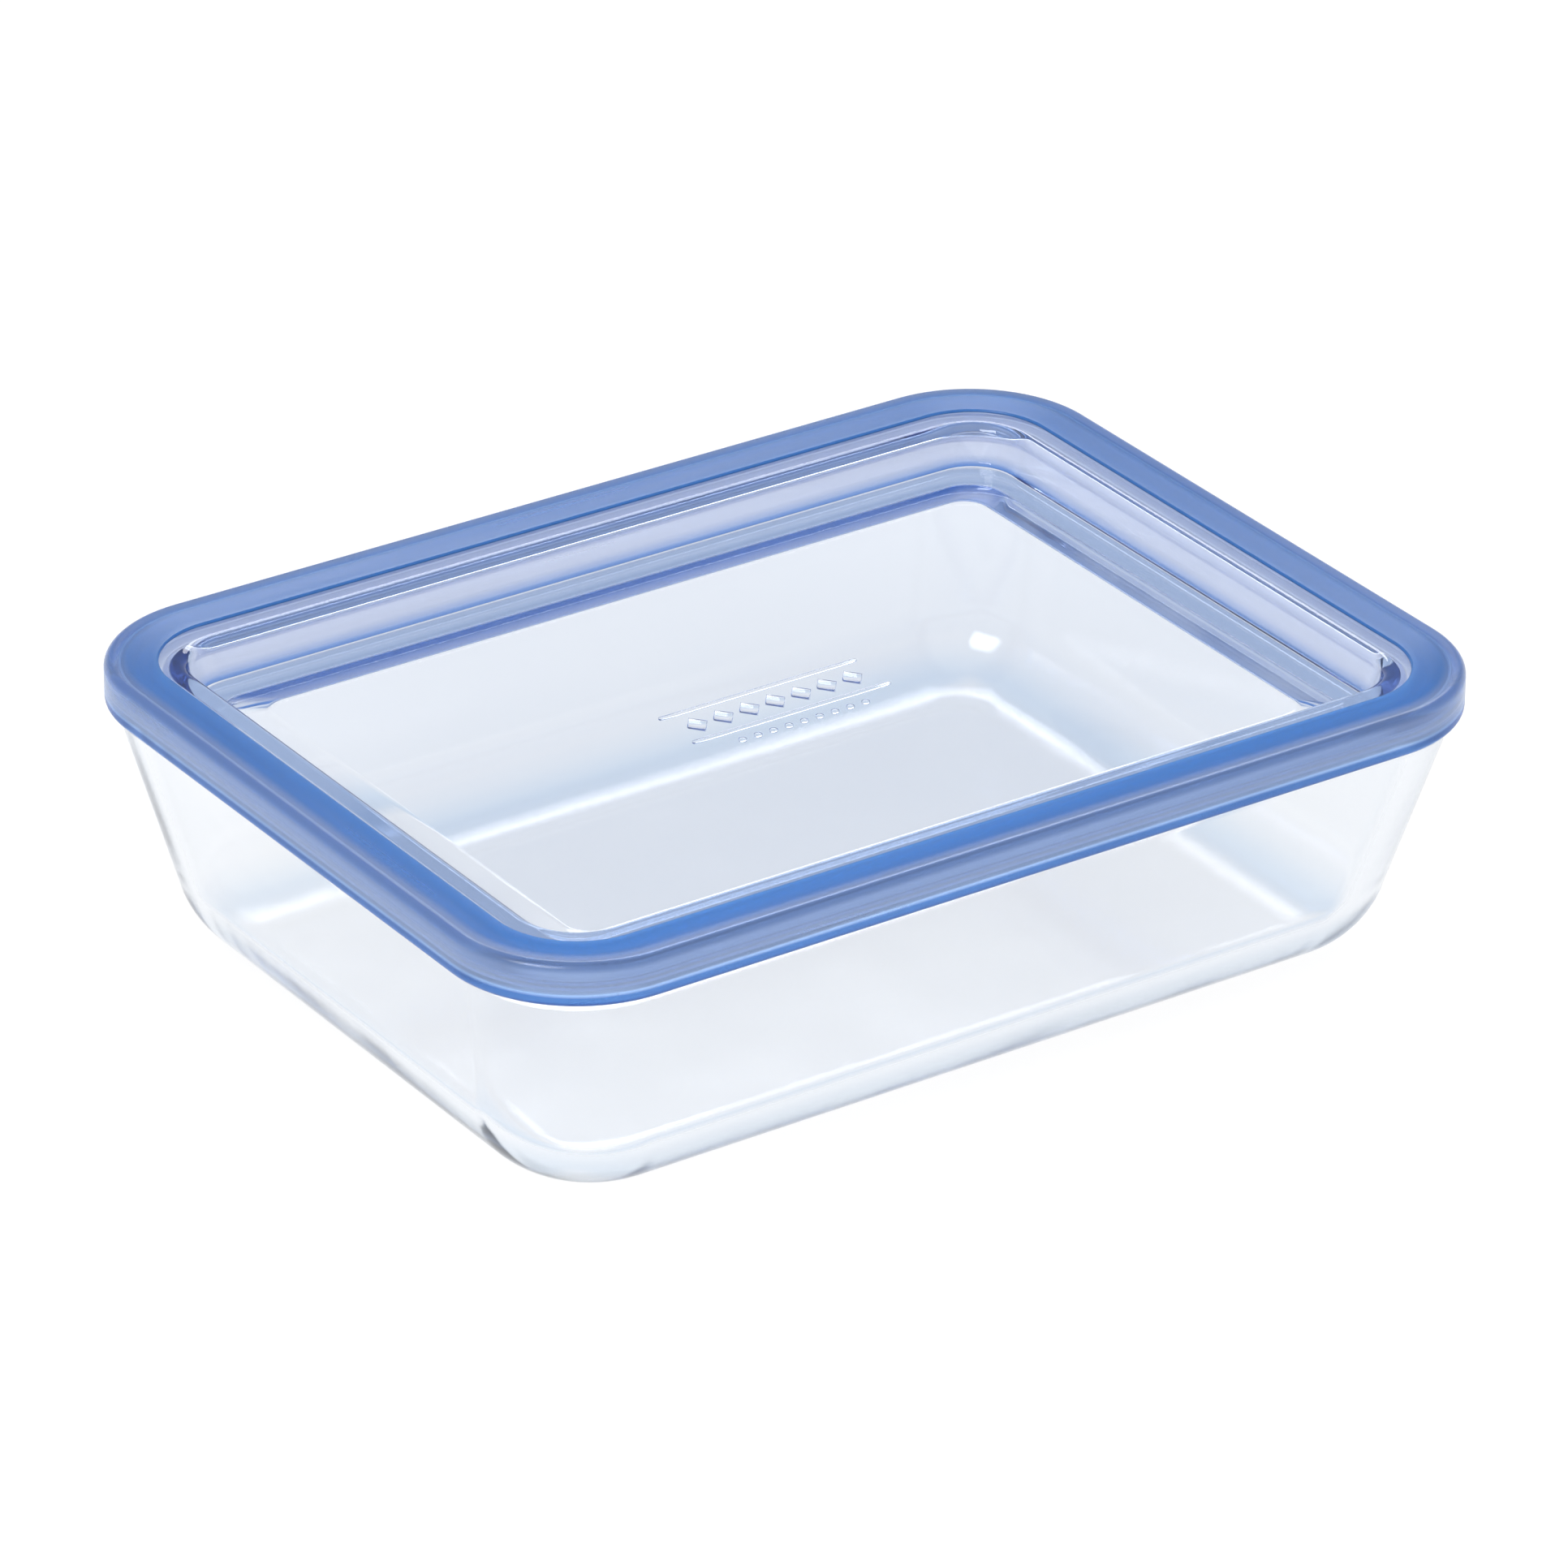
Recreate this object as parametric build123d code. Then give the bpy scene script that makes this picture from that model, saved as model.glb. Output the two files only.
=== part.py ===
from build123d import *
import math
import os

# A rectangular glass food dish with a recessed glass lid whose edge is wrapped in a soft sealing rim.
# Millimetres. Z is up, z = 0 is the face the dish stands on, X is the long way, the origin is the
# centre of the base. "Inset" means the horizontal distance inward from the rim's outermost outline.

# --- Driving dimensions -------------------------------------------------------------------------
LENGTH = 240.0           # over the soft rim, along X
WIDTH = 181.0            # over the soft rim, along Y
HEIGHT = 65.0            # base to the crown of the soft rim
CORNER = 29.0            # plan radius of the soft rim's outer corners

# Soft rim
RIM_HEIGHT = 9.4
RIM_SHOULDER = 2.0       # rounding of the upper outer edge
RIM_FOOT = 1.4           # rounding of the lower outer edge
RIM_BAND = 11.2          # inset of the rim's inner edge on top of the glass
RIM_CROWN = 4.5          # inset where the top starts to fall towards the inner edge
RIM_FALL = 0.5           # how far the top has fallen at the inner edge
RIM_NOSE = 0.5           # rounding of the inner edge
RIM_CROWN_ROUND = 20.0   # broad rounding where the top starts to fall
LIP_OVER_GLASS = 1.2     # rim material above the lid's flange
GLASS_POCKET = 3.0       # inset of the pocket that holds the flange
WEB = 1.0                # rim material between the flange and the dish
SKIRT = 1.9              # thickness of the skirt outside the dish
SKIRT_INNER_ROUND = 0.3
SEAL_FIN = (7.3, 9.3)    # insets of the seal fin's two sides
SEAL_FIN_DROP = 2.6      # how far the fin hangs below the web
FIN_ROOT_ROUND = 0.4
FIN_TIP_ROUND = 0.7
BOOT = 1.3               # rim material down the side of the lid's plug
BOOT_DROP = 9.8          # how far it reaches below the flange
BOOT_TOE_ROUND = 0.6
BOOT_ROOT_ROUND = 0.5

# Glass lid
FLANGE = 4.0             # flange thickness
FLANGE_ROUND = 1.2       # rounding of the flange's edge, and of the pocket's corners
WELL_EDGE = 17.2         # inset of the recess at the top
WELL_FLOOR = 19.3        # inset of the recess at its floor
WELL_DEPTH = 8.5         # flange top to recess floor
WELL_EDGE_ROUND = 2.9
WELL_FLOOR_ROUND = 1.2
FLOOR_GLASS = 4.0        # thickness of the lid's floor
PLUG_TOP = 13.4          # inset of the plug under the recess, at the flange's base
PLUG_FOOT = 16.0         # inset of the plug at the bottom of its foot ring
PLUG_ROUND = 3.0
RING_DROP = 3.4          # how far the foot ring stands below the floor
RING_INNER = 22.8        # inset of the foot ring's inner side at the bottom
RING_ROUND = 2.6
PANEL_EDGE = 31.0        # inset where the floor's flat underside begins
PANEL_CORNER = 5.5       # plan radius of its corners
PANEL_ROUND = 3.0

# Glass dish
RUN_CLEARANCE = 0.3      # dish to skirt
RIM_LAND_ROUND = 1.3     # rounding of both edges of the dish's rim
DISH_BAND = 3.8          # height of the upright band round the top of the dish
BAND_BLEND = 12.0        # blend between the band and the sloping wall
DRAFT = 0.227            # inward run of the wall per unit of drop
CAVITY_INSET = 6.1       # inset of the inner wall at the rim
DISH_FLOOR = 5.0
OUTER_BOTTOM_ROUND = 22.0
INNER_BOTTOM_ROUND = 17.5

# Raised ornament under the lid's floor: lozenges in a row between two bars, beads below
RELIEF = 0.5             # how far the ornament stands below the floor
RELIEF_ROOT = 0.5        # how far it reaches up into the floor, so that the two fuse
LOZENGES = 7
LOZENGE_PITCH = 6.4
LOZENGE_SIZE = (5.0, 6.4)
BAR_LENGTH = 49.0
BAR_WIDTH = 1.1
BAR_END_ROUND = 0.49
BAR_OFFSET = 6.2
BEADS = 9
BEAD_PITCH = 3.8
BEAD_RADIUS = 0.9
BEAD_OFFSET = 10.6
ORNAMENT_SHIFT = 3.5     # sets the whole pattern about the middle of the lid

# --- Tolerances for picking edges -----------------------------------------------------------------
LEVEL_MATCH = 0.01
OUTLINE_MATCH = 0.05

# --- Levels and insets that follow ----------------------------------------------------------------
Z_RIM_FOOT = HEIGHT - RIM_HEIGHT
Z_FLANGE_TOP = HEIGHT - LIP_OVER_GLASS
Z_FLANGE_BASE = Z_FLANGE_TOP - FLANGE
Z_SEAT = Z_FLANGE_BASE - WEB
Z_FIN_FOOT = Z_SEAT - SEAL_FIN_DROP
Z_WELL_FLOOR = Z_FLANGE_TOP - WELL_DEPTH
Z_PLUG_BASE = Z_WELL_FLOOR - FLOOR_GLASS
DISH_INSET = SKIRT + RUN_CLEARANCE
Z_BAND = Z_SEAT - DISH_BAND
Z_RING_FOOT = Z_PLUG_BASE - RING_DROP
PLUG_LEAN = (PLUG_FOOT - PLUG_TOP) / (Z_FLANGE_BASE - Z_RING_FOOT)


def outline(inset, corner=None):
    """Rounded rectangle at an inset, concentric with the rim unless a corner radius is given."""
    radius = CORNER - inset if corner is None else corner
    return RectangleRounded(LENGTH - 2 * inset, WIDTH - 2 * inset, radius)


def slab(inset, z_low, z_high):
    """Straight-sided block between two levels."""
    return Pos(0, 0, z_low) * extrude(outline(inset), z_high - z_low)


def taper(inset_high, z_high, inset_low, z_low, corner_high=None, corner_low=None):
    """Block whose sides run straight from one outline to another."""
    high = Pos(0, 0, z_high) * outline(inset_high, corner_high)
    low = Pos(0, 0, z_low) * outline(inset_low, corner_low)
    return loft([low, high], ruled=True)


def edges_at(solid, z):
    """Every edge that lies in the level plane at z."""
    return solid.edges().filter_by_position(Axis.Z, z - LEVEL_MATCH, z + LEVEL_MATCH)


def outer_edges_at(solid, z, inset):
    """The level edges at z that belong to the outline at this inset."""
    half_x = LENGTH / 2 - inset
    half_y = WIDTH / 2 - inset
    near = [e for e in edges_at(solid, z) if reaches(e, half_x, half_y)]
    return ShapeList(near)


def reaches(edge, half_x, half_y):
    """True when the edge touches a rectangle of these half sizes."""
    box = edge.bounding_box()
    touch_x = abs(max(abs(box.min.X), abs(box.max.X)) - half_x) < OUTLINE_MATCH
    touch_y = abs(max(abs(box.min.Y), abs(box.max.Y)) - half_y) < OUTLINE_MATCH
    return touch_x or touch_y


def make_lid():
    """Flat flange, deep recess and the plug beneath it, all one pressed glass piece."""
    flange = slab(GLASS_POCKET, Z_FLANGE_BASE, Z_FLANGE_TOP)
    flange = fillet(edges_at(flange, Z_FLANGE_TOP) + edges_at(flange, Z_FLANGE_BASE), FLANGE_ROUND)
    well = taper(WELL_EDGE, Z_FLANGE_TOP, WELL_FLOOR, Z_WELL_FLOOR)
    well = fillet(edges_at(well, Z_WELL_FLOOR), WELL_FLOOR_ROUND)
    lid = flange + make_plug() - well
    return fillet(outer_edges_at(lid, Z_FLANGE_TOP, WELL_EDGE), WELL_EDGE_ROUND)


def make_plug():
    """The block below the flange, hollowed underneath so that a foot ring is left round its edge."""
    block = taper(PLUG_TOP, Z_FLANGE_BASE, PLUG_FOOT, Z_RING_FOOT)
    block = block + slab(PLUG_TOP, Z_FLANGE_BASE, Z_FLANGE_BASE + FLANGE / 2)
    share = (RING_INNER - WELL_FLOOR) / (PANEL_EDGE - WELL_FLOOR)
    at_well = CORNER - WELL_FLOOR
    ring_corner = at_well + (PANEL_CORNER - at_well) * share
    hollow = taper(PANEL_EDGE, Z_PLUG_BASE, RING_INNER, Z_RING_FOOT, PANEL_CORNER, ring_corner)
    hollow = fillet(edges_at(hollow, Z_PLUG_BASE), PANEL_ROUND)
    block = block - hollow
    block = fillet(outer_edges_at(block, Z_RING_FOOT, PLUG_FOOT), PLUG_ROUND)
    inner_edges = edges_at(block, Z_RING_FOOT).filter_by(lambda e: within(e, RING_INNER))
    return fillet(inner_edges, RING_ROUND)


def within(edge, inset):
    """True when the edge belongs to this inset's outline or lies inside it."""
    box = edge.bounding_box()
    clear_x = max(abs(box.min.X), abs(box.max.X)) < LENGTH / 2 - inset + OUTLINE_MATCH
    clear_y = max(abs(box.min.Y), abs(box.max.Y)) < WIDTH / 2 - inset + OUTLINE_MATCH
    return clear_x and clear_y


def make_ornament():
    """Generic raised pattern on the underside of the lid's floor."""
    lozenge = make_face(Polyline((-LOZENGE_SIZE[0] / 2, 0), (0, LOZENGE_SIZE[1] / 2),
                                 (LOZENGE_SIZE[0] / 2, 0), (0, -LOZENGE_SIZE[1] / 2), close=True))
    shapes = []
    for i in range(LOZENGES):
        shapes.append(Pos((i - (LOZENGES - 1) / 2) * LOZENGE_PITCH, ORNAMENT_SHIFT) * lozenge)
    for side in (-1, 1):
        bar = RectangleRounded(BAR_LENGTH, BAR_WIDTH, BAR_END_ROUND)
        shapes.append(Pos(0, side * BAR_OFFSET + ORNAMENT_SHIFT) * bar)
    for i in range(BEADS):
        place = Pos((i - (BEADS - 1) / 2) * BEAD_PITCH, ORNAMENT_SHIFT - BEAD_OFFSET)
        shapes.append(place * Circle(BEAD_RADIUS))
    return [Pos(0, 0, Z_PLUG_BASE - RELIEF) * extrude(shape, RELIEF + RELIEF_ROOT) for shape in shapes]


def make_rim():
    """Soft rim: one cross-section carried round the lid's outline."""
    z_boot = Z_FLANGE_BASE - BOOT_DROP
    boot_low = PLUG_TOP + PLUG_LEAN * BOOT_DROP
    points = [
        (0.0, Z_RIM_FOOT, RIM_FOOT),
        (0.0, HEIGHT, RIM_SHOULDER),
        (RIM_CROWN, HEIGHT, RIM_CROWN_ROUND),
        (RIM_BAND, HEIGHT - RIM_FALL, RIM_NOSE),
        (RIM_BAND, Z_FLANGE_TOP, 0.0),
        (GLASS_POCKET, Z_FLANGE_TOP, FLANGE_ROUND),
        (GLASS_POCKET, Z_FLANGE_BASE, FLANGE_ROUND),
        (PLUG_TOP, Z_FLANGE_BASE, 0.0),
        (boot_low, z_boot, 0.0),
        (boot_low - BOOT, z_boot, BOOT_TOE_ROUND),
        (PLUG_TOP - BOOT, Z_SEAT, BOOT_ROOT_ROUND),
        (SEAL_FIN[1], Z_SEAT, FIN_ROOT_ROUND),
        (SEAL_FIN[1], Z_FIN_FOOT, FIN_TIP_ROUND),
        (SEAL_FIN[0], Z_FIN_FOOT, FIN_TIP_ROUND),
        (SEAL_FIN[0], Z_SEAT, FIN_ROOT_ROUND),
        (SKIRT, Z_SEAT, 0.0),
        (SKIRT, Z_RIM_FOOT, SKIRT_INNER_ROUND),
    ]
    half = LENGTH / 2
    corners = [(half - inset, 0, z) for inset, z, _ in points]
    rounds = [radius for _, _, radius in points]
    section = make_face(FilletPolyline(*corners, radius=rounds, close=True))
    path = outline(0.0).wire()
    return sweep(section, path=path)


def make_dish():
    """Open dish: upright band at the top, sloping walls of even thickness, large bottom rounding."""
    foot_inset = DISH_INSET + DRAFT * Z_BAND
    corner = CORNER - DISH_INSET
    body = taper(DISH_INSET, Z_BAND, foot_inset, 0.0, corner, corner)
    body = fillet(edges_at(body, 0.0), OUTER_BOTTOM_ROUND)
    body = body + slab(DISH_INSET, Z_BAND, Z_SEAT)
    body = fillet(edges_at(body, Z_BAND), BAND_BLEND)
    inner_corner = CORNER - CAVITY_INSET
    cavity_low = CAVITY_INSET + DRAFT * (Z_SEAT - DISH_FLOOR)
    cavity = taper(CAVITY_INSET, Z_SEAT, cavity_low, DISH_FLOOR, inner_corner, inner_corner)
    cavity = fillet(edges_at(cavity, DISH_FLOOR), INNER_BOTTOM_ROUND)
    dish = body - cavity
    return fillet(edges_at(dish, Z_SEAT), RIM_LAND_ROUND)


def main():
    lid = make_lid()
    for shape in make_ornament():
        lid = lid + shape
    parts = {
        "glass_dish": make_dish(),
        "glass_lid": lid,
        "sealing_rim": make_rim(),
    }
    os.makedirs("parts", exist_ok=True)
    for name, shape in parts.items():
        export_step(shape, f"parts/{name}.step")


main()
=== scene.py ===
import bpy
import bmesh
import math
from mathutils import Vector, Matrix


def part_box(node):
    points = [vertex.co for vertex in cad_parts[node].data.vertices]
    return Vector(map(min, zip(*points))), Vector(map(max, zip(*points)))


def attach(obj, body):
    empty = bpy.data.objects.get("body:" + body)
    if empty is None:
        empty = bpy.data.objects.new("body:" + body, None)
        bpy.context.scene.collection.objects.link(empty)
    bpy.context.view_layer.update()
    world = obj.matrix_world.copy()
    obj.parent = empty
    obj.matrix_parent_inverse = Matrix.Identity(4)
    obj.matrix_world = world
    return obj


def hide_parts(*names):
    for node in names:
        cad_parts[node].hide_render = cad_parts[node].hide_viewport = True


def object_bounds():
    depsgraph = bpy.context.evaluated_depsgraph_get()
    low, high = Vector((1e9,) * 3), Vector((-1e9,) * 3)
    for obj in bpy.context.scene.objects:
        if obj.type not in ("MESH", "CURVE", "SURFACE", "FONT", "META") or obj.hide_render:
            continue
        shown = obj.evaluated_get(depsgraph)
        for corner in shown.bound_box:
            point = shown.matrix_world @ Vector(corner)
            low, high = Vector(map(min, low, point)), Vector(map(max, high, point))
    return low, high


# A glass food dish with a recessed glass lid and a translucent blue sealing rim, in a plain white studio.
# Cross-sections are written in millimetres as (inset, z): inset is the level distance inward from the
# rim's outermost outline, z the height above the surface the dish stands on.

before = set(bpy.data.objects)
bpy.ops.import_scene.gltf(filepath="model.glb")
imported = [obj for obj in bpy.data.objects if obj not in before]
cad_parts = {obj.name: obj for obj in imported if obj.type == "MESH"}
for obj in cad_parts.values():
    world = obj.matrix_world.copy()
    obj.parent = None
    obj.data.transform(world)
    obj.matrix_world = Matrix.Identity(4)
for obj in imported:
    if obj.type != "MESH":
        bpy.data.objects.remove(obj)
cad_low, cad_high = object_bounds()

MM = 0.001
rim_low, rim_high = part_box("sealing_rim")
LENGTH = (rim_high.x - rim_low.x) / MM
WIDTH = (rim_high.y - rim_low.y) / MM
HEIGHT = rim_high.z / MM
CORNER = 29.0

# --- levels and insets, the same design as the CAD solids ----------------------------------------
RIM_HEIGHT = 9.4
LIP = 1.2                    # rim above the flange
FLANGE = 4.0
FLANGE_ROUND = 1.2
WEB = 1.0                    # rim between the flange and the dish
RIM_FOOT_Z = HEIGHT - RIM_HEIGHT
FLANGE_TOP = HEIGHT - LIP
FLANGE_BASE = FLANGE_TOP - FLANGE
SEAT = FLANGE_BASE - WEB     # the level of the dish's rim

RIM_FOOT_ROUND = 1.4         # the soft rim's section
RIM_SHOULDER_ROUND = 2.0
RIM_CROWN = 4.5
RIM_CROWN_ROUND = 20.0
RIM_BAND = 11.2
RIM_FALL = 0.5
RIM_NOSE_ROUND = 0.5
POCKET = 3.0
POCKET_EDGE_ROUND = 0.15
SKIRT = 1.9
SKIRT_INNER_ROUND = 0.3
FIN_OUT = 7.3
FIN_IN = 9.3
FIN_FOOT = SEAT - 2.6
FIN_ROOT_ROUND = 0.4
FIN_TIP_ROUND = 0.7
FILM = 0.04                  # air film between the soft rim and the glass it grips

RECESS_EDGE = 17.2           # the lid's recess: its upper edge, its floor and the plug below
RECESS_EDGE_ROUND = 2.9
RECESS_FOOT = 19.3
RECESS_DEPTH = 8.5
RECESS_FOOT_ROUND = 1.2
FLOOR_GLASS = 4.0
PLUG_TOP = 13.4
PLUG_TOP_ROUND = 0.3
PLUG_FOOT = 16.0
PLUG_ROUND = 3.0
RING_DROP = 3.4              # a foot ring stands below the floor's edge
RING_INNER = 22.8
RING_ROUND = 2.6
PANEL_EDGE = 31.0            # where the flat underside of the floor begins
PANEL_ROUND = 3.0
PANEL_CORNER = 5.5
RECESS_FLOOR = FLANGE_TOP - RECESS_DEPTH
FLOOR_BASE = RECESS_FLOOR - FLOOR_GLASS
RING_FOOT = FLOOR_BASE - RING_DROP
PLUG_LEAN = (PLUG_FOOT - PLUG_TOP) / (FLANGE_BASE - RING_FOOT)

BOOT = 1.3                   # seal skin down the plug's side
BOOT_FOOT = 50.0
BOOT_FOOT_ROUND = 0.3
BOOT_TOE_ROUND = 0.6
BOOT_ROOT_ROUND = 0.5

DISH_INSET = SKIRT + 0.3     # with the running clearance inside the skirt
DISH_BAND_Z = SEAT - 3.8     # foot of the upright band
BAND_BLEND = 12.0
DRAFT = 0.227
CAVITY_INSET = 6.1
DISH_FLOOR = 5.0
LAND_ROUND = 1.3
LAND_MIDDLE = (DISH_INSET + CAVITY_INSET) / 2
DISH_MIDDLE = 60.0           # inset of the flat caps that close the dish's floor
LID_MIDDLE = 38.0            # and the lid's
OUTER_ROUND = 22.0
INNER_ROUND = 17.5

# --- mesh making ----------------------------------------------------------------------------------
CORNER_STEPS = 20            # facets round each plan corner
ARC_STEP = math.radians(6)   # largest turn between two points of a rounded profile corner
SUPPORT = 0.12               # distance of the support points that keep flats flat under smooth shading
LEAST_CORNER = 0.6           # smallest plan radius
QUARTERS = ((1, 1), (-1, 1), (-1, -1), (1, -1))


def corner_arc(before, point, after, radius):
    """Points that round one profile corner, with a support point on each side of the arc."""
    to_before = (before - point).normalized()
    to_after = (after - point).normalized()
    opening = to_before.angle(to_after)
    cut = radius / math.tan(opening / 2)
    centre = point + (to_before + to_after).normalized() * (radius / math.sin(opening / 2))
    start = point + to_before * cut - centre
    turn = math.pi - opening
    if start.x * (point - centre).y - start.y * (point - centre).x < 0:
        turn = -turn
    steps = max(2, math.ceil(abs(turn) / ARC_STEP))
    arc = [centre + rotated(start, turn * i / steps) for i in range(steps + 1)]
    lead = point + to_before * (cut + SUPPORT)
    tail = point + to_after * (cut + SUPPORT)
    return [lead] + arc + [tail]


def rotated(arm, angle):
    across = math.cos(angle)
    along = math.sin(angle)
    return Vector((arm.x * across - arm.y * along, arm.x * along + arm.y * across))


def rounded_profile(corners, closed):
    """Samples a profile given as (inset, z, radius) corners. Open profiles keep their two ends."""
    points = [Vector((c[0], c[1])) for c in corners]
    samples = []
    count = len(points)
    for i, point in enumerate(points):
        at_end = not closed and i in (0, count - 1)
        if at_end or corners[i][2] == 0:
            samples.append(point)
            continue
        samples += corner_arc(points[i - 1], point, points[(i + 1) % count], corners[i][2])
    return samples


def plan_loop(inset, corner):
    """Points of a rounded rectangle, the same number whatever the inset."""
    half_x = LENGTH / 2 - inset
    half_y = WIDTH / 2 - inset
    corner = max(corner, LEAST_CORNER)
    loop = []
    for quarter, (sx, sy) in enumerate(QUARTERS):
        cx = sx * (half_x - corner)
        cy = sy * (half_y - corner)
        for i in range(CORNER_STEPS + 1):
            angle = math.pi / 2 * (quarter + i / CORNER_STEPS)
            loop.append((cx + corner * math.cos(angle), cy + corner * math.sin(angle)))
    return loop


def swept_shell(name, profile, radii, closed):
    """Carries a sampled profile round the plan outline, one corner radius to each of its points.
    Open profiles are closed with two caps."""
    bm = bmesh.new()
    rings = []
    for (inset, z), radius in zip(profile, radii):
        loop = plan_loop(inset, radius)
        rings.append([bm.verts.new((x * MM, y * MM, z * MM)) for x, y in loop])
    pairs = list(zip(rings, rings[1:]))
    if closed:
        pairs.append((rings[-1], rings[0]))
    for low, high in pairs:
        for i in range(len(low)):
            j = (i + 1) % len(low)
            bm.faces.new((low[i], low[j], high[j], high[i]))
    if not closed:
        bm.faces.new(rings[0])
        bm.faces.new(list(reversed(rings[-1])))
    bmesh.ops.recalc_face_normals(bm, faces=bm.faces)
    mesh = bpy.data.meshes.new(name)
    bm.to_mesh(mesh)
    bm.free()
    mesh.polygons.foreach_set("use_smooth", [True] * len(mesh.polygons))
    piece = bpy.data.objects.new(name, mesh)
    bpy.context.scene.collection.objects.link(piece)
    return piece


# --- pieces ---------------------------------------------------------------------------------------
def make_rim():
    """Soft rim: lip, pocket for the flange, boot down the plug, seal fin and skirt in one section."""
    boot_low = PLUG_TOP + PLUG_LEAN * (FLANGE_BASE - BOOT_FOOT)
    profile = rounded_profile([
        (0.0, RIM_FOOT_Z, RIM_FOOT_ROUND),
        (0.0, HEIGHT, RIM_SHOULDER_ROUND),
        (RIM_CROWN, HEIGHT, RIM_CROWN_ROUND),
        (RIM_BAND, HEIGHT - RIM_FALL, RIM_NOSE_ROUND),
        (RIM_BAND, FLANGE_TOP + FILM, POCKET_EDGE_ROUND),
        (POCKET - FILM, FLANGE_TOP + FILM, FLANGE_ROUND),
        (POCKET - FILM, FLANGE_BASE - FILM, FLANGE_ROUND),
        (PLUG_TOP - FILM, FLANGE_BASE - FILM, PLUG_TOP_ROUND),
        (boot_low - FILM, BOOT_FOOT, BOOT_FOOT_ROUND),
        (boot_low - BOOT, BOOT_FOOT, BOOT_TOE_ROUND),
        (PLUG_TOP - BOOT, SEAT, BOOT_ROOT_ROUND),
        (FIN_IN, SEAT, FIN_ROOT_ROUND),
        (FIN_IN, FIN_FOOT, FIN_TIP_ROUND),
        (FIN_OUT, FIN_FOOT, FIN_TIP_ROUND),
        (FIN_OUT, SEAT, FIN_ROOT_ROUND),
        (SKIRT, SEAT, SKIRT_INNER_ROUND),
        (SKIRT, RIM_FOOT_Z, SKIRT_INNER_ROUND),
    ], True)
    return swept_shell("sealing_rim_soft", profile, [CORNER - inset for inset, _ in profile], True)


def make_lid():
    """Pressed glass: flange, recess, plug and foot ring in one section, closed by the flat floor."""
    profile = rounded_profile([
        (LID_MIDDLE, RECESS_FLOOR, 0),
        (RECESS_FOOT, RECESS_FLOOR, RECESS_FOOT_ROUND),
        (RECESS_EDGE, FLANGE_TOP, RECESS_EDGE_ROUND),
        (POCKET, FLANGE_TOP, FLANGE_ROUND),
        (POCKET, FLANGE_BASE, FLANGE_ROUND),
        (PLUG_TOP, FLANGE_BASE, PLUG_TOP_ROUND),
        (PLUG_FOOT, RING_FOOT, PLUG_ROUND),
        (RING_INNER, RING_FOOT, RING_ROUND),
        (PANEL_EDGE, FLOOR_BASE, PANEL_ROUND),
        (LID_MIDDLE, FLOOR_BASE, 0),
    ], False)
    return swept_shell("lid_glass_panel", profile, [lid_corner(inset) for inset, _ in profile], False)


def lid_corner(inset):
    """Concentric out to the recess wall, easing to the flat underside's own corner radius."""
    if inset <= RECESS_FOOT:
        return CORNER - inset
    at_edge = CORNER - RECESS_FOOT
    share = min(1.0, (inset - RECESS_FOOT) / (PANEL_EDGE - RECESS_FOOT))
    return at_edge + (PANEL_CORNER - at_edge) * share


def make_dish():
    """Upright band, sloping wall and rounded bottom, outside first and then back down the inside."""
    foot = DISH_INSET + DRAFT * DISH_BAND_Z
    cavity_foot = CAVITY_INSET + DRAFT * (SEAT - DISH_FLOOR)
    outside = rounded_profile([
        (DISH_MIDDLE, 0.0, 0),
        (foot, 0.0, OUTER_ROUND),
        (DISH_INSET, DISH_BAND_Z, BAND_BLEND),
        (DISH_INSET, SEAT, LAND_ROUND),
        (LAND_MIDDLE, SEAT, 0),
    ], False)
    inside = rounded_profile([
        (LAND_MIDDLE, SEAT, 0),
        (CAVITY_INSET, SEAT, LAND_ROUND),
        (cavity_foot, DISH_FLOOR, INNER_ROUND),
        (DISH_MIDDLE, DISH_FLOOR, 0),
    ], False)
    radii = wall_radii(outside, DISH_INSET, DISH_BAND_Z, 0.0, OUTER_ROUND)
    radii += wall_radii(inside[1:], CAVITY_INSET, SEAT, DISH_FLOOR, INNER_ROUND)
    return swept_shell("dish_glass_body", outside + inside[1:], radii, False)


def wall_radii(profile, inset_high, z_high, z_low, bottom_round):
    """Plan corner radii down a sloping wall: even along the slope, shrinking round its bottom."""
    z_tangent = z_low + bottom_round * (1 - math.sin(math.atan(DRAFT)))
    inset_tangent = inset_high + DRAFT * (z_high - z_tangent)
    radii = []
    for inset, z in profile:
        beyond = max(0.0, inset - inset_tangent)
        on_land = z > SEAT - LAND_ROUND
        radii.append(CORNER - min(inset, CAVITY_INSET) if on_land else CORNER - inset_high - beyond)
    return radii


# --- raised ornament under the lid's floor ---------------------------------------------------------
RELIEF = 0.5
RELIEF_ROOT = 0.4            # how far each shape reaches up into the floor before the two are joined
RELIEF_STEPS = ((1.0, 0.32), (0.93, 0.446), (0.82, 0.5))    # share of the outline at each drop
LOZENGES = 7
LOZENGE_PITCH = 6.4
LOZENGE_SIZE = (5.0, 6.4)
BAR_LENGTH = 49.0
BAR_WIDTH = 1.1
BAR_END_ROUND = 0.495
BAR_OFFSET = 6.2
BEADS = 9
BEAD_PITCH = 3.8
BEAD_RADIUS = 0.9
BEAD_OFFSET = 10.6
ORNAMENT_SHIFT = 3.5         # sets the whole pattern about the middle of the lid
ROUND_STEPS = 5
SHARP_EDGE = math.radians(28)
WELD = 1e-7                  # metres


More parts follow.
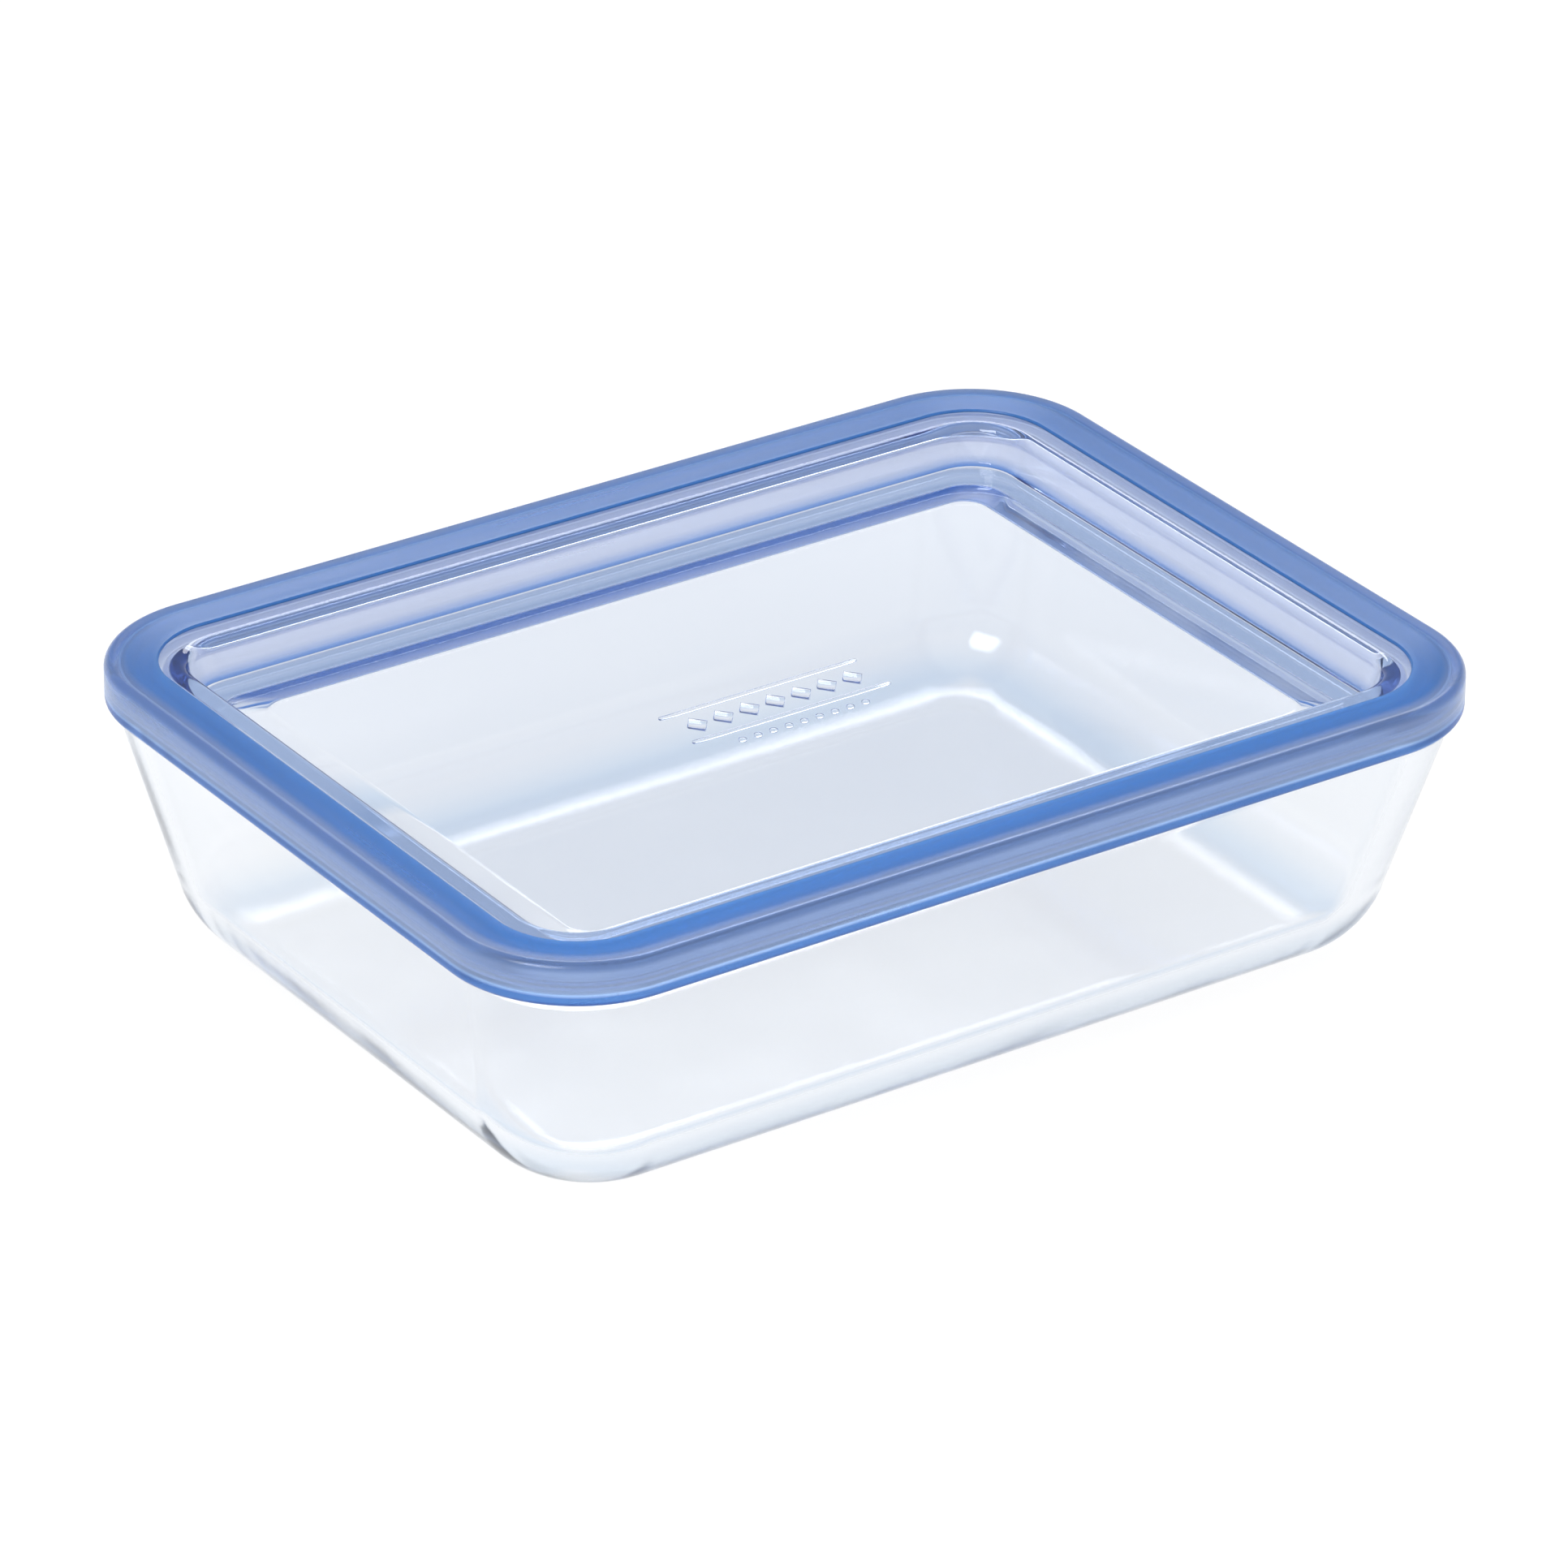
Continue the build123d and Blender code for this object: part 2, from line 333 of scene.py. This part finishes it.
def raised_shape(bm, outline, cx, cy):
    """A flat-topped relief with an eased edge, hanging down from the floor's underside."""
    rings = []
    for share, drop in ((1.0, -RELIEF_ROOT),) + RELIEF_STEPS:
        z = FLOOR_BASE - drop
        places = [(cx + x * share, cy + y * share) for x, y in outline]
        rings.append([bm.verts.new((x * MM, y * MM, z * MM)) for x, y in places])
    count = len(outline)
    for high, low in zip(rings, rings[1:]):
        for i in range(count):
            j = (i + 1) % count
            bm.faces.new((high[i], low[i], low[j], high[j]))
    bm.faces.new(rings[0])
    bm.faces.new(list(reversed(rings[-1])))


def round_outline(half_x, half_y, radius):
    points = []
    for quarter, (sx, sy) in enumerate(QUARTERS):
        cx = sx * (half_x - radius)
        cy = sy * (half_y - radius)
        for i in range(ROUND_STEPS + 1):
            angle = math.pi / 2 * (quarter + i / ROUND_STEPS)
            points.append((cx + radius * math.cos(angle), cy + radius * math.sin(angle)))
    return points


def lozenge_outline(size_x, size_y):
    return [(size_x / 2, 0), (0, size_y / 2), (-size_x / 2, 0), (0, -size_y / 2)]


def row_places(count, pitch):
    """Positions of a row of shapes centred on zero."""
    return [(i - (count - 1) / 2) * pitch for i in range(count)]


def add_ornament(lid):
    bm = bmesh.new()
    for x in row_places(LOZENGES, LOZENGE_PITCH):
        raised_shape(bm, lozenge_outline(*LOZENGE_SIZE), x, ORNAMENT_SHIFT)
    for side in (-1, 1):
        bar = round_outline(BAR_LENGTH / 2, BAR_WIDTH / 2, BAR_END_ROUND)
        raised_shape(bm, bar, 0, side * BAR_OFFSET + ORNAMENT_SHIFT)
    for x in row_places(BEADS, BEAD_PITCH):
        bead = round_outline(BEAD_RADIUS, BEAD_RADIUS, BEAD_RADIUS)
        raised_shape(bm, bead, x, ORNAMENT_SHIFT - BEAD_OFFSET)
    bmesh.ops.remove_doubles(bm, verts=bm.verts, dist=WELD)
    bmesh.ops.recalc_face_normals(bm, faces=bm.faces)
    mesh = bpy.data.meshes.new("ornament")
    bm.to_mesh(mesh)
    bm.free()
    ornament = bpy.data.objects.new("ornament", mesh)
    bpy.context.scene.collection.objects.link(ornament)
    union = lid.modifiers.new("ornament", "BOOLEAN")
    union.operation = "UNION"
    union.solver = "EXACT"
    union.object = ornament
    depsgraph = bpy.context.evaluated_depsgraph_get()
    joined = bpy.data.meshes.new_from_object(lid.evaluated_get(depsgraph))
    lid.modifiers.clear()
    lid.data = joined
    bpy.data.objects.remove(ornament)
    joined.polygons.foreach_set("use_smooth", [True] * len(joined.polygons))
    joined.set_sharp_from_angle(angle=SHARP_EDGE)


# --- materials ------------------------------------------------------------------------------------
GLASS_IOR = 1.5
RIM_IOR = 1.41
RIM_TRANSMISSION = 0.78
RIM_BODY_BLUE = (0.35, 0.55, 0.92)
RIM_DENSITY = 80.0
RIM_GLOW = 0.10              # light scattered inside the translucent rim
RIM_ROUGHNESS = (0.18, 0.30)
STREAK_SHADES = (0.93, 1.07)
STREAK_SCALE = 420.0
STREAK_RUN = (0.03, -0.03, 0.0)    # how slowly the streaks change along the rim
SKIN_SCALE = 60.0
SKIN_DEPTH = 0.00002
WAVE_SCALE = 24.0
RIPPLE_SCALE = 110.0
RIPPLE_SHARE = 0.05
HAZE_SCALE = 14.0


def new_material(name):
    material = bpy.data.materials.new(name)
    material.use_nodes = True
    nodes = material.node_tree.nodes
    return material, nodes, material.node_tree.links, nodes["Principled BSDF"]


def add_noise(nodes, links, vector, scale, detail):
    noise = nodes.new("ShaderNodeTexNoise")
    noise.inputs["Scale"].default_value = scale
    noise.inputs["Detail"].default_value = detail
    links.new(vector, noise.inputs["Vector"])
    return noise.outputs["Fac"]


def between(nodes, links, value, low, high):
    """Carries a 0 to 1 value over to another range."""
    step = nodes.new("ShaderNodeMapRange")
    step.inputs["To Min"].default_value = low
    step.inputs["To Max"].default_value = high
    links.new(value, step.inputs["Value"])
    return step.outputs["Result"]


def vector_step(nodes, links, operation, first, second=None):
    step = nodes.new("ShaderNodeVectorMath")
    step.operation = operation
    links.new(first, step.inputs[0])
    if second is not None:
        step.inputs[1].default_value = second
    return step


def fill_ramp(ramp, stops):
    elements = ramp.color_ramp.elements
    while len(elements) < len(stops):
        elements.new(0.5)
    for element, (at, colour) in zip(elements, stops):
        element.position = at
        element.color = (*colour, 1.0)


def colour_ramp(nodes, links, value, low, high, stops):
    """Colours placed at distances in millimetres along a measured value."""
    span = nodes.new("ShaderNodeMapRange")
    span.inputs["From Min"].default_value = low * MM
    span.inputs["From Max"].default_value = high * MM
    links.new(value, span.inputs["Value"])
    ramp = nodes.new("ShaderNodeValToRGB")
    links.new(span.outputs["Result"], ramp.inputs["Fac"])
    fill_ramp(ramp, [((at - low) / (high - low), colour) for at, colour in stops])
    return ramp.outputs["Color"]


def passing(nodes, links, value, low, high):
    """0 below one distance in millimetres, 1 above another."""
    step = nodes.new("ShaderNodeMapRange")
    step.inputs["From Min"].default_value = low * MM
    step.inputs["From Max"].default_value = high * MM
    links.new(value, step.inputs["Value"])
    return step.outputs["Result"]


def mixed(nodes, links, first, second, share):
    mix = nodes.new("ShaderNodeMix")
    mix.data_type = "RGBA"
    links.new(first, mix.inputs["A"])
    links.new(second, mix.inputs["B"])
    links.new(share, mix.inputs["Factor"])
    return mix.outputs["Result"]


def height_of(nodes, links, coords):
    split = nodes.new("ShaderNodeSeparateXYZ")
    links.new(coords, split.inputs["Vector"])
    return split.outputs["Z"]


def distance_out(nodes, links, coords):
    """Level distance from the corner axes outward: the rim's corner radius less the inset, never negative."""
    spread = vector_step(nodes, links, "ABSOLUTE", coords).outputs["Vector"]
    straight = ((LENGTH / 2 - CORNER) * MM, (WIDTH / 2 - CORNER) * MM, 1.0)
    beyond = vector_step(nodes, links, "SUBTRACT", spread, straight).outputs["Vector"]
    beyond = vector_step(nodes, links, "MAXIMUM", beyond, (0, 0, 0)).outputs["Vector"]
    return vector_step(nodes, links, "LENGTH", beyond).outputs["Value"]


CLEAR = (0.99, 0.995, 1.0)
DISH_BODY = (0.62, 0.71, 0.83)
LID_BODY = (0.55, 0.66, 0.85)
# painted shade: darker grey-blue in the dish glass along its bottom rounding
BOTTOM_PAINTED_SHADE = (0.67, 0.79, 0.92)
# painted refraction: the blue seal's image painted into the clear glass of the lid's foot ring
SEAL_PAINTED_REFRACTION = (0.18, 0.27, 0.50)
PAINT_FADE = 5.0              # the painted shade and the painted refraction fade in over this distance from the corner axes
# the dish's painted shade, full below 3 mm and gone by 10 mm
DISH_PAINTED_SHADE = ((3.0, BOTTOM_PAINTED_SHADE), (10.0, CLEAR))
# the lid's painted refraction, full below 48.6 mm and gone by 49.8 mm
LID_PAINTED_REFRACTION = ((48.6, SEAL_PAINTED_REFRACTION), (49.8, CLEAR))


def glass_material(name, absorb, density, wave_height, haze, painted_steps):
    """Clear pressed glass: slow waves from the mould, faint fire-polish ripple, a weak blue-grey body,
    and near its outside painted light that changes with the level, given as (z, colour) steps:
    painted shade on the dish's bottom rounding, a painted refraction of the seal on the lid's foot ring."""
    material, nodes, links, shader = new_material(name)
    shader.inputs["Transmission Weight"].default_value = 1.0
    shader.inputs["IOR"].default_value = GLASS_IOR
    coords = nodes.new("ShaderNodeTexCoord").outputs["Object"]
    # painted light near the outside: painted shade on the dish, a painted refraction of the seal on the lid
    painted_tint = nodes.new("ShaderNodeMix")
    painted_tint.data_type = "RGBA"
    painted_tint.inputs["A"].default_value = (*CLEAR, 1.0)
    levels = colour_ramp(nodes, links, height_of(nodes, links, coords), 0.0, HEIGHT, painted_steps)
    links.new(levels, painted_tint.inputs["B"])
    far_out = passing(nodes, links, distance_out(nodes, links, coords), 0.0, PAINT_FADE)
    links.new(far_out, painted_tint.inputs["Factor"])
    links.new(painted_tint.outputs["Result"], shader.inputs["Base Color"])
    waves = add_noise(nodes, links, coords, WAVE_SCALE, 1.0)
    ripple = add_noise(nodes, links, coords, RIPPLE_SCALE, 2.0)
    slow = nodes.new("ShaderNodeBump")
    slow.inputs["Distance"].default_value = wave_height
    links.new(waves, slow.inputs["Height"])
    fine = nodes.new("ShaderNodeBump")
    fine.inputs["Distance"].default_value = wave_height * RIPPLE_SHARE
    links.new(ripple, fine.inputs["Height"])
    links.new(slow.outputs["Normal"], fine.inputs["Normal"])
    links.new(fine.outputs["Normal"], shader.inputs["Normal"])
    smear = between(nodes, links, add_noise(nodes, links, coords, HAZE_SCALE, 4.0), 0.0, haze)
    links.new(smear, shader.inputs["Roughness"])
    volume = nodes.new("ShaderNodeVolumeAbsorption")
    volume.inputs["Color"].default_value = (*absorb, 1.0)
    volume.inputs["Density"].default_value = density
    links.new(volume.outputs["Volume"], nodes["Material Output"].inputs["Volume"])
    return material


DEEP_BLUE = (0.03, 0.14, 0.45)
LINE_BLUE = (0.36, 0.58, 0.90)
BAND_BLUE = (0.024, 0.188, 0.50)
# rim blue lightened as a painted highlight along the lip's inner rounded edge
EDGE_BLUE_AND_PAINTED_HIGHLIGHT = (0.10, 0.30, 0.60)
# rim blue lightened as a painted highlight on the outer shoulder
SHOULDER_BLUE_AND_PAINTED_HIGHLIGHT = (0.18, 0.275, 0.47)
PALE_BLUE = (0.36, 0.475, 0.67)
LILAC = (0.80, 0.83, 0.93)
BOOT_BLUE = (0.16, 0.36, 0.78)


def rim_colour(nodes, links, from_edge, level):
    """Three colour ramps, for the skirt, the lip over the flange and the boot, joined where they meet."""
    # the skirt's top reaches the shoulder's colour, which carries a painted highlight
    skirt = colour_ramp(nodes, links, level, RIM_FOOT_Z, HEIGHT, (
        (RIM_FOOT_Z + 0.2, DEEP_BLUE),
        (SEAT - 1.0, DEEP_BLUE),
        (SEAT - 0.4, LINE_BLUE),
        (SEAT + 0.1, PALE_BLUE),
        (HEIGHT - 1.9, PALE_BLUE),
        (HEIGHT - 0.4, SHOULDER_BLUE_AND_PAINTED_HIGHLIGHT),
    ))
    # the lip: painted highlight at its inner edge, deep blue band, painted highlight toward the shoulder
    lip = colour_ramp(nodes, links, from_edge, 0.0, CORNER, (
        (CORNER - 12.0, EDGE_BLUE_AND_PAINTED_HIGHLIGHT),
        (CORNER - 9.6, BAND_BLUE),
        (CORNER - 5.0, BAND_BLUE),
        (CORNER - 2.4, SHOULDER_BLUE_AND_PAINTED_HIGHLIGHT),
    ))
    boot = colour_ramp(nodes, links, level, BOOT_FOOT, HEIGHT, (
        (BOOT_FOOT + 1.5, BOOT_BLUE),
        (BOOT_FOOT + 5.5, LILAC),
    ))
    above_flange = passing(nodes, links, level, FLANGE_BASE, FLANGE_TOP - 0.4)
    inner = mixed(nodes, links, boot, lip, above_flange)
    in_skirt = passing(nodes, links, from_edge, CORNER - 2.1, CORNER - 1.5)
    return mixed(nodes, links, inner, skirt, in_skirt)


def rim_material():
    """Translucent elastomer: deep blue where it is thick, paler where it is a thin skin.
    The top's inner edge and outer shoulder are lightened as painted highlights.
    """
    material, nodes, links, shader = new_material("rim_elastomer")
    shader.inputs["Transmission Weight"].default_value = RIM_TRANSMISSION
    shader.inputs["IOR"].default_value = RIM_IOR
    coords = nodes.new("ShaderNodeTexCoord").outputs["Object"]
    from_edge = distance_out(nodes, links, coords)
    level = height_of(nodes, links, coords)
    colour = rim_colour(nodes, links, from_edge, level)
    along = vector_step(nodes, links, "DOT_PRODUCT", coords, STREAK_RUN).outputs["Value"]
    grain = nodes.new("ShaderNodeCombineXYZ")
    links.new(from_edge, grain.inputs["X"])
    links.new(level, grain.inputs["Y"])
    links.new(along, grain.inputs["Z"])
    streaks = add_noise(nodes, links, grain.outputs["Vector"], STREAK_SCALE, 0.0)
    streaked = nodes.new("ShaderNodeVectorMath")
    streaked.operation = "SCALE"
    links.new(colour, streaked.inputs[0])
    links.new(between(nodes, links, streaks, *STREAK_SHADES), streaked.inputs["Scale"])
    links.new(streaked.outputs["Vector"], shader.inputs["Base Color"])
    links.new(streaked.outputs["Vector"], shader.inputs["Emission Color"])
    shader.inputs["Emission Strength"].default_value = RIM_GLOW
    links.new(between(nodes, links, streaks, *RIM_ROUGHNESS), shader.inputs["Roughness"])
    skin = nodes.new("ShaderNodeBump")
    skin.inputs["Distance"].default_value = SKIN_DEPTH
    links.new(add_noise(nodes, links, coords, SKIN_SCALE, 0.0), skin.inputs["Height"])
    links.new(skin.outputs["Normal"], shader.inputs["Normal"])
    volume = nodes.new("ShaderNodeVolumeAbsorption")
    volume.inputs["Color"].default_value = (*RIM_BODY_BLUE, 1.0)
    volume.inputs["Density"].default_value = RIM_DENSITY
    links.new(volume.outputs["Volume"], nodes["Material Output"].inputs["Volume"])
    return material


SHADE_CENTRE = (0.035, 0.055, 0.0)
SHADE_SIZE = (0.185, 0.165, 1.0)
SHADE_LEVEL = 0.90           # glow at the shade's middle
FLOOR_LEVEL = 0.98           # glow of the open floor
SHADE_CORE = 0.35            # share of the shade's size that is evenly shaded


def floor_material():
    """A white sweep that glows, with a soft shade lying behind the dish, away from the key light."""
    material, nodes, links, shader = new_material("studio_white")
    shader.inputs["Base Color"].default_value = (0.05, 0.05, 0.05, 1.0)
    shader.inputs["Roughness"].default_value = 0.9
    coords = nodes.new("ShaderNodeTexCoord").outputs["Object"]
    centred = vector_step(nodes, links, "SUBTRACT", coords, SHADE_CENTRE).outputs["Vector"]
    scaled = vector_step(nodes, links, "DIVIDE", centred, SHADE_SIZE).outputs["Vector"]
    reach = vector_step(nodes, links, "LENGTH", scaled).outputs["Value"]
    fade = nodes.new("ShaderNodeMapRange")
    fade.interpolation_type = "SMOOTHERSTEP"
    fade.inputs["From Min"].default_value = SHADE_CORE
    fade.inputs["From Max"].default_value = 1.0
    fade.inputs["To Min"].default_value = SHADE_LEVEL
    fade.inputs["To Max"].default_value = FLOOR_LEVEL
    links.new(reach, fade.inputs["Value"])
    shader.inputs["Emission Color"].default_value = (1.0, 1.0, 1.0, 1.0)
    links.new(fade.outputs["Result"], shader.inputs["Emission Strength"])
    return material


def dress(piece, material):
    piece.data.materials.clear()
    piece.data.materials.append(material)


# --- camera, light and floor ----------------------------------------------------------------------
CAMERA_AZIMUTH = math.radians(-34.65)
CAMERA_ELEVATION = math.radians(26.855)
CAMERA_ROLL = math.radians(0.61)
CAMERA_DISTANCE = 1.8548
CAMERA_LENS = 208.99
CAMERA_SENSOR = 36.0
CAMERA_REACH = 100.0
AIM_DROP = 0.02574           # how far the aim lies below the middle of the lid, along the picture's upright


def make_camera():
    back = Vector((
        math.sin(CAMERA_AZIMUTH) * math.cos(CAMERA_ELEVATION),
        -math.cos(CAMERA_AZIMUTH) * math.cos(CAMERA_ELEVATION),
        math.sin(CAMERA_ELEVATION),
    ))
    right = Vector((math.cos(CAMERA_AZIMUTH), math.sin(CAMERA_AZIMUTH), 0.0))
    up = back.cross(right)
    lid_centre = Vector((0.0, 0.0, cad_high.z))
    position = lid_centre + back * CAMERA_DISTANCE
    aim = lid_centre - up * AIM_DROP
    data = bpy.data.cameras.new("studio_camera")
    data.sensor_width = CAMERA_SENSOR
    data.lens = CAMERA_LENS
    data.clip_end = CAMERA_REACH
    camera = bpy.data.objects.new("studio_camera", data)
    bpy.context.scene.collection.objects.link(camera)
    level = (position - aim).to_track_quat("Z", "Y")
    camera.rotation_mode = "QUATERNION"
    camera.rotation_quaternion = level @ Matrix.Rotation(CAMERA_ROLL, 4, "Z").to_quaternion()
    camera.location = position
    bpy.context.scene.camera = camera


FLOOR_RADIUS = 12.0
FLOOR_DROP = 0.0002          # keeps the floor just clear of the glass


def make_floor():
    bm = bmesh.new()
    bmesh.ops.create_circle(bm, cap_ends=True, radius=FLOOR_RADIUS, segments=96)
    mesh = bpy.data.meshes.new("studio_floor")
    bm.to_mesh(mesh)
    bm.free()
    floor = bpy.data.objects.new("studio_floor", mesh)
    floor.location.z = -FLOOR_DROP
    bpy.context.scene.collection.objects.link(floor)
    dress(floor, floor_material())


SKY = (                      # colours at heights from the horizon, 0, to straight up, 1
    (0.0, (0.98, 0.98, 0.99)),
    (0.10, (0.88, 0.92, 0.98)),
    (0.26, (0.50, 0.62, 0.82)),
    (0.45, (0.48, 0.58, 0.76)),
    (0.80, (0.84, 0.86, 0.91)),
)


def make_world():
    """White surroundings that dim to a cool grey in a band above the horizon."""
    world = bpy.data.worlds.new("studio")
    world.use_nodes = True
    bpy.context.scene.world = world
    nodes = world.node_tree.nodes
    links = world.node_tree.links
    coords = nodes.new("ShaderNodeTexCoord")
    split = nodes.new("ShaderNodeSeparateXYZ")
    ramp = nodes.new("ShaderNodeValToRGB")
    links.new(coords.outputs["Generated"], split.inputs["Vector"])
    links.new(split.outputs["Z"], ramp.inputs["Fac"])
    fill_ramp(ramp, SKY)
    links.new(ramp.outputs["Color"], nodes["Background"].inputs["Color"])


def softbox(name, position, size, power):
    data = bpy.data.lights.new(name, "AREA")
    data.shape = "RECTANGLE"
    data.size = size[0]
    data.size_y = size[1]
    data.energy = power
    lamp = bpy.data.objects.new(name, data)
    bpy.context.scene.collection.objects.link(lamp)
    lamp.location = position
    lamp.rotation_mode = "QUATERNION"
    lamp.rotation_quaternion = Vector(position).to_track_quat("Z", "Y")
    return lamp


make_camera()
make_floor()
make_world()
softbox("key_softbox", (-1.6, -0.6, 1.8), (1.2, 0.8), 30.0)
softbox("fill_softbox", (1.5, 1.6, 2.0), (1.6, 1.0), 24.0)

BOUNCES = 64                 # light crosses up to a dozen glass faces, and circles inside the lid's corners
scene = bpy.context.scene
scene.view_settings.view_transform = "Standard"
scene.cycles.max_bounces = BOUNCES
scene.cycles.transmission_bounces = BOUNCES
scene.cycles.glossy_bounces = BOUNCES // 2
scene.cycles.transparent_max_bounces = 16
scene.cycles.caustics_refractive = True

dish = make_dish()
lid = make_lid()
rim = make_rim()
add_ornament(lid)
dress(dish, glass_material("dish_clear_glass", DISH_BODY, 20.0, 0.00030, 0.14, DISH_PAINTED_SHADE))
dress(lid, glass_material("lid_clear_glass", LID_BODY, 26.0, 0.00006, 0.05, LID_PAINTED_REFRACTION))
dress(rim, rim_material())

for piece, node, body, slot in (
    (dish, "glass_dish", "dish", "dish_glass"),
    (lid, "glass_lid", "lid", "lid_glass"),
    (rim, "sealing_rim", "lid", "rim_rubber"),
):
    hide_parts(node)
    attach(piece, body)
